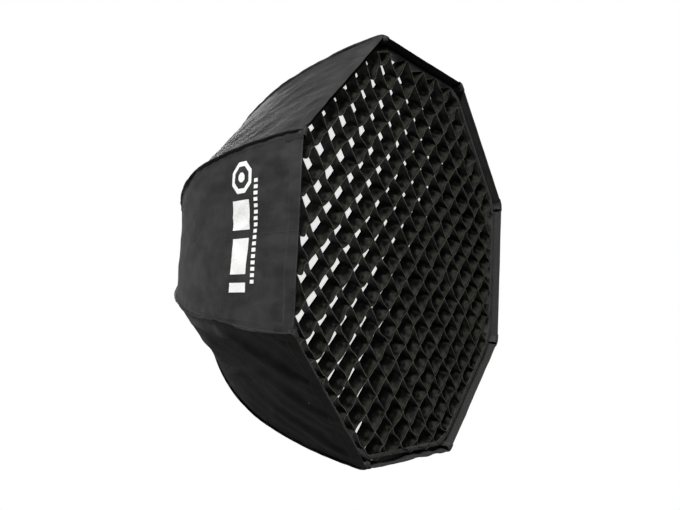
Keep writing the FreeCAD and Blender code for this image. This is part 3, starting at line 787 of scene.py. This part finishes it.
def printed_mark():
    """A plain geometric mark: an eight-sided ring and core, three bars and a row of dashes."""
    ink_patch("mark_ring", ring(MARK_ALONG, MARK_RING_AT, 0.033, 0.023))
    ink_patch("mark_core", ring(MARK_ALONG, MARK_RING_AT, 0.010, 0.0002))
    ink_patch("mark_bar_upper", bar(MARK_ALONG, MARK_WIDTH, -0.066, -0.010))
    ink_patch("mark_bar_lower", bar(MARK_ALONG, MARK_WIDTH, 0.006, 0.074))
    ink_patch("mark_bar_short", bar(MARK_ALONG, MARK_WIDTH, 0.090, 0.108))
    for index in range(DASHES):
        start = FIRST_DASH + index * DASH_PITCH
        dash = bar(DASH_ALONG, DASH_WIDTH, start, start + DASH_LENGTH)
        ink_patch(f"mark_dash_{index}", dash)


# ---------------------------------------------------------------- front set


def octagon_reach(turn, apothem):
    """Distance from the middle to the octagon's edge in a direction."""
    off = (turn + HALF) % STEP - HALF
    return apothem / math.cos(off)


def face_reach(turn, apothem, corner):
    """The same with the octagon's corners cut off."""
    off = turn % STEP - HALF
    return min(octagon_reach(turn, apothem), corner / math.cos(off))


FACE_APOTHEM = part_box("front_diffuser")[1].x
CORNER_CUT = 0.452
GRID_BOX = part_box("grid_border")
GRID_FRONT = -GRID_BOX[0].y
GRID_REAR = -GRID_BOX[1].y


def front_diffuser():
    """The stretched white front cloth, pulled a little round its edge."""
    low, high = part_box("front_diffuser")
    front, rear = -low.y, -high.y
    rings, turns = 44, 144
    points, coordinates = [], []
    for depth in (front, rear):
        for ring_index in range(rings):
            share = (ring_index + 0.3) / (rings - 0.7)
            for step in range(turns):
                turn = 2 * math.pi * step / turns
                reach = share * face_reach(turn, FACE_APOTHEM, CORNER_CUT)
                place = outward(turn) * reach
                pull = bump_at(turn * 14, share * 2.5, 3) * 0.0022 * share ** 3
                billow = 0.002 * (1 - share ** 2) + 0.0012 * noise.noise(place * 7)
                points.append(place + FORWARD * (depth - billow + pull * (share < 0.99)))
                coordinates.append((place.x, place.z))
    faces = lattice(rings, turns, closed=True, flip=True)
    faces += lattice(rings, turns, first=rings * turns, closed=True)
    faces.append(list(range(turns)))
    faces.append([rings * turns + step for step in range(turns)][::-1])
    last = (rings - 1) * turns
    for step in range(turns):
        beside = (step + 1) % turns
        behind = rings * turns + last
        faces.append([last + step, last + beside, behind + beside, behind + step])
    made = mesh_object("diffuser_cloth", points, faces, coordinates, [DIFFUSION])
    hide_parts("front_diffuser")
    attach(made, "front_set")


GRID_PITCH = 0.050
GRID_SHIFT = 0.012
STRIP_THICK = 0.0011
STRIP_REAR = GRID_REAR - 0.0006
STRIP_FRONT = GRID_FRONT + 0.0012
# A knot's slip at the rear and at the front, which random_at multiplies by -3 to 1. Then how far the
# front edges hang, how much they lean outward per metre from the middle, and the margin from the
# border over which both grow.
KNOT_SLIP = (0.0008, 0.0017)
DROOP = 0.015
SIDE_LEAN = 0.017
LEAN_FADE = 0.075


def grid_knot(first, second, face):
    """Where two strips of the grid cross, off the drawn place as sewing leaves it, rear or front."""
    diagonal = GRID_PITCH * math.sqrt(2)
    x = GRID_SHIFT + (first + second) / 2 * diagonal
    z = (second - first) / 2 * diagonal
    slip = KNOT_SLIP[face]
    return x + slip * random_at(first, second, 1 + face), z + slip * random_at(first, second, 12 + face)


def inside_face(x, z, margin):
    turn = math.atan2(z, x)
    return math.hypot(x, z) < face_reach(turn, FACE_APOTHEM, CORNER_CUT) - margin


def clip_to_face(start, end, margin):
    """The part of a straight piece between two knots that lies inside the border."""
    if not inside_face(*start, margin) and not inside_face(*end, margin):
        return None
    if inside_face(*start, margin) and inside_face(*end, margin):
        return 0.0, 1.0
    low, high = 0.0, 1.0
    start_in = inside_face(*start, margin)
    for _ in range(24):
        middle = (low + high) / 2
        place = [start[axis] + (end[axis] - start[axis]) * middle for axis in (0, 1)]
        if inside_face(*place, margin) == start_in:
            low = middle
        else:
            high = middle
    return (0.0, low) if start_in else (low, 1.0)


def lean_at(place):
    """How far the strips' front edges hang down and out from their rear edges: not at the border."""
    turn = math.atan2(place.z, place.x)
    margin = face_reach(turn, FACE_APOTHEM, CORNER_CUT) - math.hypot(place.x, place.z)
    share = max(0.0, min(1.0, margin / LEAN_FADE))
    return Vector((SIDE_LEAN * place.x, 0, -DROOP)) * share * (2 - share)


def strip_cell(family, first, second):
    """One cell's length of a strip: rows from the rear edge to the front, bowed between knots."""
    step = (first, second + 1) if family == 0 else (first + 1, second)
    rear_ends, front_ends = [(grid_knot(first, second, face), grid_knot(*step, face)) for face in (0, 1)]
    kept = clip_to_face(*rear_ends, 0.003)
    if kept is None or kept[1] - kept[0] < 0.04:
        return None
    edge_cell = kept != (0.0, 1.0) or not all(inside_face(*end, 0.03) for end in rear_ends)
    slack = 2.2 if edge_cell else 1.0
    front_bow = 0.0011 * slack * random_at(first, second, 3 + family)
    rear_bow = 0.0004 * slack * random_at(first, second, 5 + family)
    buckle = 0.0009 * slack * random_at(first, second, 7 + family)
    columns = spread(9, *kept)
    rows = spread(7)
    deep = STRIP_FRONT - STRIP_REAR
    faces_of = {1: [], -1: []}
    coordinates = []
    for rise in rows:
        ends = []
        for rear_end, front_end in zip(rear_ends, front_ends):
            rear_place = Vector((rear_end[0], 0, rear_end[1]))
            ends.append(rear_place.lerp(Vector((front_end[0], 0, front_end[1])), rise))
        start, along = ends[0], ends[1] - ends[0]
        normal = Vector((-along.z, 0, along.x)).normalized()
        for share in columns:
            arch = math.sin(math.pi * share)
            off = (rear_bow * (1 - rise) + front_bow * rise) * arch
            off += buckle * rise * math.sin(2 * math.pi * share)
            off += 0.0004 * bump_at(start.x * 40 + share * 2, rise * 2, start.z * 40 + family)
            dip = 0.0010 * arch * rise * (1 + random_at(first, second, 9 + family))
            place = start + along * share
            place += lean_at(place) * rise
            place += FORWARD * (STRIP_REAR + deep * rise - dip)
            for face in (1, -1):
                faces_of[face].append(place + normal * (off + face * STRIP_THICK / 2))
            coordinates.append(((share + second) * GRID_PITCH, rise * deep))
    return faces_of, coordinates, len(rows), len(columns)


def grid_family(family):
    """All strips that run one way, as one sewn piece."""
    points, faces, coordinates, kinds = [], [], [], []
    reach = 10
    for first in range(-2 * reach, 2 * reach):
        for second in range(-2 * reach, 2 * reach):
            cell = strip_cell(family, first, second)
            if not cell:
                continue
            sides, places, rows, columns = cell
            base = len(points)
            points += sides[1] + sides[-1]
            coordinates += places + places
            count = rows * columns
            faces += lattice(rows, columns, first=base, flip=True)
            faces += lattice(rows, columns, first=base + count)
            kinds += [0] * (2 * (rows - 1) * (columns - 1))
            # the front edges take the light grey edge colour, a painted highlight; the rear edges keep the strip's
            # colour
            for column in range(columns - 1):
                top = base + (rows - 1) * columns + column
                faces.append([top, top + 1, top + 1 + count, top + count])
                low = base + column
                faces.append([low + count, low + 1 + count, low + 1, low])
                kinds += [1, 0]
            for row in range(rows - 1):
                for column, turned in ((0, False), (columns - 1, True)):
                    near = base + row * columns + column
                    quad = [near, near + columns, near + columns + count, near + count]
                    faces.append(quad[::-1] if turned else quad)
                    kinds.append(0)
    name = "grid_strips_rising" if family == 0 else "grid_strips_falling"
    made = mesh_object(name, points, faces, coordinates, [GRID, GRID_EDGE_PAINTED_HIGHLIGHT], kinds)
    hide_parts("grid_strips_a" if family == 0 else "grid_strips_b")
    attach(made, "grid")


def border_section(turn):
    """The tape's outline at one bearing: its inset from the edge and its depth, point by point."""
    band = 0.0105 + 0.0045 * math.cos(turn + HALF)
    place = (math.cos(turn), math.sin(turn))
    wave = 0.0012 * bump_at(place[0] * 12, place[1] * 12, 1)
    ripple = 0.0009 * bump_at(place[0] * 45, place[1] * 45, 4)
    tuft = 0.0022 * bump_at(place[0] * 75, place[1] * 75, 9)
    edge = band + tuft
    front = GRID_FRONT
    return [
        (0, GRID_REAR), (0, GRID_REAR + 0.012), (ripple, front - 0.004), (0.0008, front - 0.0012),
        (0.003, front), (edge * 0.5, front + wave), (edge - 0.001, front + ripple),
        (edge, front - 0.0008 + ripple), (edge - 0.0006, front - 0.0022 + ripple),
        (edge * 0.5, front - 0.002 + wave), (0.004, front - 0.0026), (0.002, front - 0.005),
        (0.002, GRID_REAR + 0.012), (0.002, GRID_REAR),
    ]


def grid_border():
    """The tape round the grid: a wall behind and a band that folds over at the front."""
    turns = RIBS * 72
    points, coordinates = [], []
    for step in range(turns):
        turn = 2 * math.pi * step / turns
        reach = face_reach(turn, FACE_APOTHEM, CORNER_CUT)
        scale = 1 / math.cos((turn + HALF) % STEP - HALF)
        for inset, depth in border_section(turn):
            points.append(outward(turn) * (reach - inset * scale) + FORWARD * depth)
            coordinates.append((turn * reach, inset + depth))
    faces = loop_lattice(turns, len(border_section(0)), flip=True)
    made = mesh_object("grid_border_tape", points, faces, coordinates, [BORDER])
    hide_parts("grid_border")
    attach(made, "grid")


# From the tape's outer end, over the corner and in: outward from the seam and ahead of its end.
TAB_PATH = [(0.0012, -0.011), (0.0016, -0.007), (0.0014, -0.002), (0.0002, 0.0010), (-0.0030, 0.0022),
            (-0.0080, 0.0020), (-0.0120, 0.0006), (-0.0135, -0.0030), (-0.0140, -0.0100),
            (-0.0142, -0.0160)]


def corner_tab(rib):
    """A short tape folded over the front corner, hiding the rib's tip."""
    angle = rib * STEP - HALF
    radial, depth, _ = rib_at(LENGTH)
    offsets = spread(11, -0.0085, 0.0085)
    points, coordinates = [], []
    for layer in (0, 1):
        for step, (rise, ahead) in enumerate(TAB_PATH):
            inward = 0.0007 * layer
            for offset in offsets:
                fall = abs(offset) * math.tan(HALF) * (0.95 if rise > -0.004 else 0.5)
                crumple = 0.0006 * bump_at(offset * 160, step * 0.7, rib * 3.3)
                ahead_of = depth + ahead + crumple - inward * (rise < -0.001)
                out = radial + rise - fall - inward * (rise >= -0.001) + crumple
                points.append(outward(angle) * out + FORWARD * ahead_of + across(angle) * offset)
                coordinates.append((offset, step * 0.005))
    rows, columns = len(TAB_PATH), len(offsets)
    faces = lattice(rows, columns) + lattice(rows, columns, first=rows * columns, flip=True)
    made = mesh_object(f"corner_tab_{rib}", points, faces, coordinates, [TAB])
    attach(made, f"rib_{rib}")


# ---------------------------------------------------------------- hard parts


def blacken_tip(item, material):
    """The moulded cap at the rib's tip is black, unlike the steel fittings on the same rib."""
    item.data.materials.append(material)
    for face in item.data.polygons:
        if (item.matrix_world @ face.center).y < -(FRONT - 0.05):
            face.material_index = 1


def paint_hard_parts():
    """Gives the carried-over CAD nodes their finished materials."""
    alloy = painted_alloy("satin_alloy", (0.03, 0.03, 0.032))
    nylon = moulded_plastic("glass_filled_nylon", (0.024, 0.024, 0.025))
    rod = painted_alloy("rod_enamel", (0.016, 0.016, 0.016))
    fitting = turned_metal("pressed_steel", (0.42, 0.42, 0.43), 0.35)
    pin = turned_metal("ground_steel", (0.62, 0.62, 0.63), 0.25)
    post = turned_metal("polished_post", (0.72, 0.72, 0.73), 0.16)
    oxide = turned_metal("black_oxide", (0.08, 0.08, 0.085), 0.4)
    acetal = moulded_plastic("acetal", (0.7, 0.69, 0.65))
    grey = moulded_plastic("button_grey", (0.2, 0.2, 0.21))
    by_slot = {
        "alloy_black": alloy, "nylon_black": nylon, "steel_screws": oxide, "steel_pins": pin,
        "steel_posts": post, "bush_acetal": acetal, "spring_steel": pin, "button_grey": grey,
        "rod_black": rod, "fittings_steel": fitting,
    }
    slots = {row["node"]: row["material_slot"] for row in frame["record"]["subparts"]}
    for name, item in frame["nodes"].items():
        material = by_slot.get(slots.get(name))
        if material:
            item.data.materials.clear()
            item.data.materials.append(material)
        if name.startswith("rib_fittings"):
            blacken_tip(item, nylon)


# ---------------------------------------------------------------- camera, light and stage

CAMERA_AT = Vector((-1.54055, -1.44878, -0.16729))
CAMERA_RIGHT = Vector((0.5641, -0.8245, 0.0453))
CAMERA_FORWARD = Vector((0.8195, 0.5657, 0.0915))
LENS = 42.53


LIT_MIDDLE = Vector((0, -0.35, 0))

# Name, place, side in metres and watts.
LIGHTS = (
    ("key_above", (-2.0, -0.8, 2.2), 0.7, 58),
    ("front_left", (-2.9, -2.3, 2.3), 0.6, 235),
    ("rear_left", (-0.2, 3.5, -1.0), 0.4, 20),
    ("rear_right", (2.4, 2.6, 1.6), 1.5, 70),
    ("low_right", (3.0, 0.8, -1.0), 1.5, 25),
)


def make_camera():
    data = bpy.data.cameras.new("camera")
    data.lens = LENS
    data.sensor_width = 36
    made = bpy.data.objects.new("camera", data)
    bpy.context.scene.collection.objects.link(made)
    back = -CAMERA_FORWARD.normalized()
    right = (CAMERA_RIGHT - back * CAMERA_RIGHT.dot(back)).normalized()
    up = back.cross(right)
    turn = np.array([right, up, back]).T
    made.matrix_world = Matrix([[*turn[row], CAMERA_AT[row]] for row in range(3)] + [[0, 0, 0, 1]])
    bpy.context.scene.camera = made


def area_light(name, at, size, watts):
    """A square light aimed at a point inside the object."""
    data = bpy.data.lights.new(name, "AREA")
    data.shape = "SQUARE"
    data.size = size
    data.energy = watts
    made = bpy.data.objects.new(name, data)
    made.location = at
    made.rotation_euler = (LIT_MIDDLE - Vector(at)).to_track_quat("-Z", "Y").to_euler()
    bpy.context.scene.collection.objects.link(made)


FLOOR_LEVEL = -2.6
FLOOR_HALF = 5.5
WORLD_LIGHT = 0.026
WORLD_SEEN = 1.0


def make_stage():
    """A floor well below the object, pale by a glow that only the camera sees: it lights nothing."""
    floor = Shader("floor_paint", (0.2, 0.2, 0.2), 0.8)
    floor.tint(floor.grain(floor.place(object_space=True), 0.3), 0.97, 1.02)
    seen = floor.node("ShaderNodeLightPath").outputs["Is Camera Ray"]
    floor.set(Emission_Color=(1, 1, 1, 1))
    floor.tree.links.new(floor.math("MULTIPLY", seen, 0.8), floor.surface.inputs["Emission Strength"])
    corners = [(x * FLOOR_HALF, y * FLOOR_HALF, FLOOR_LEVEL) for x, y in ((-1, -1), (1, -1), (1, 1), (-1, 1))]
    mesh = bpy.data.meshes.new("floor")
    mesh.from_pydata(corners, [], [[0, 1, 2, 3]])
    mesh.materials.append(floor.material)
    made = bpy.data.objects.new("floor", mesh)
    bpy.context.scene.collection.objects.link(made)


def make_surround():
    """A surround that the camera sees as white, but that lights the object only dimly."""
    world = bpy.data.worlds.new("studio")
    world.use_nodes = True
    tree = world.node_tree
    path = tree.nodes.new("ShaderNodeLightPath")
    level = tree.nodes.new("ShaderNodeMapRange")
    level.inputs["To Min"].default_value = WORLD_LIGHT
    level.inputs["To Max"].default_value = WORLD_SEEN
    tree.links.new(path.outputs["Is Camera Ray"], level.inputs["Value"])
    tree.links.new(level.outputs[0], tree.nodes["Background"].inputs["Strength"])
    tree.nodes["Background"].inputs["Color"].default_value = (1, 1, 1, 1)
    bpy.context.scene.world = world
    bpy.context.scene.view_settings.view_transform = "Standard"


# ---------------------------------------------------------------- build

for gore in range(1, RIBS + 1):
    half_gore(gore, False)
    half_gore(gore, True)
for rib in range(1, RIBS + 1):
    seam_fin(rib)
    corner_pocket(rib)
    corner_tab(rib)
rear_gather()
printed_mark()
front_diffuser()
grid_family(0)
grid_family(1)
grid_border()
paint_hard_parts()
make_camera()
make_stage()
make_surround()
for light in LIGHTS:
    area_light(*light)
